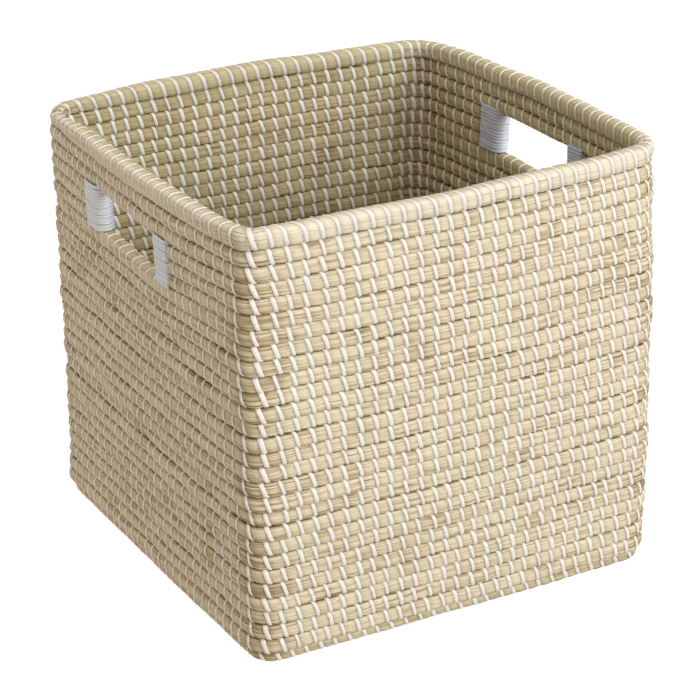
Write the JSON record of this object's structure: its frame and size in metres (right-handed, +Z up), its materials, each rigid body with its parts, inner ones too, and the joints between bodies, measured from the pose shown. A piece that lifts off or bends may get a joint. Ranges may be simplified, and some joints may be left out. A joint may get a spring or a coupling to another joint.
{
  "type": "storage basket",
  "caption": "Open cube-shaped storage basket of sewn seagrass coil, with a flat coiled base, a thicker rim and a bound hand hole in each of two opposite walls.",
  "frame": {"origin": "middle of the underside, on the surface that the basket stands on", "axes": "+Z up, +X to the right from hand hole to hand hole, -Y the front wall; the walls stand square to X and Y"},
  "size_m": [0.352, 0.351, 0.3198],
  "materials": {
    "seagrass": "dry matte plant fibre, pale straw with tan and greenish streaks",
    "rim_seagrass": "dry matte plant fibre, pale straw",
    "sewing_cord": "off-white twisted cord, slightly satin",
    "binding_cord": "white cord, close wound"
  },
  "bodies": {
    "root": {"base_row_01": "seagrass", "base_row_02": "seagrass", "base_row_03": "seagrass", "base_row_04": "seagrass", "base_row_05": "seagrass", "base_row_06": "seagrass", "base_row_07": "seagrass", "base_row_08": "seagrass", "base_row_09": "seagrass", "base_row_10": "seagrass", "base_row_11": "seagrass", "base_row_12": "seagrass", "base_row_13": "seagrass", "base_row_14": "seagrass", "base_start": "seagrass", "hole_binding_left_back": "binding_cord", "hole_binding_left_front": "binding_cord", "hole_binding_right_back": "binding_cord", "hole_binding_right_front": "binding_cord", "rim_coil": "rim_seagrass", "stitching_back": "sewing_cord", "stitching_base": "sewing_cord", "stitching_front": "sewing_cord", "stitching_left": "sewing_cord", "stitching_right": "sewing_cord", "stitching_rim": "sewing_cord", "wall_row_01": "seagrass", "wall_row_02": "seagrass", "wall_row_03": "seagrass", "wall_row_04": "seagrass", "wall_row_05": "seagrass", "wall_row_06": "seagrass", "wall_row_07": "seagrass", "wall_row_08": "seagrass", "wall_row_09": "seagrass", "wall_row_10": "seagrass", "wall_row_11": "seagrass", "wall_row_12": "seagrass", "wall_row_13": "seagrass", "wall_row_14": "seagrass", "wall_row_15": "seagrass", "wall_row_16": "seagrass", "wall_row_17": "seagrass", "wall_row_18": "seagrass", "wall_row_19": "seagrass", "wall_row_20": "seagrass", "wall_row_21": "seagrass", "wall_row_22": "seagrass", "wall_row_23_back": "seagrass", "wall_row_23_front": "seagrass", "wall_row_24_back": "seagrass", "wall_row_24_front": "seagrass", "wall_row_25_back": "seagrass", "wall_row_25_front": "seagrass", "wall_row_26": "seagrass", "wall_row_27": "seagrass"}
  },
  "joints": []
}
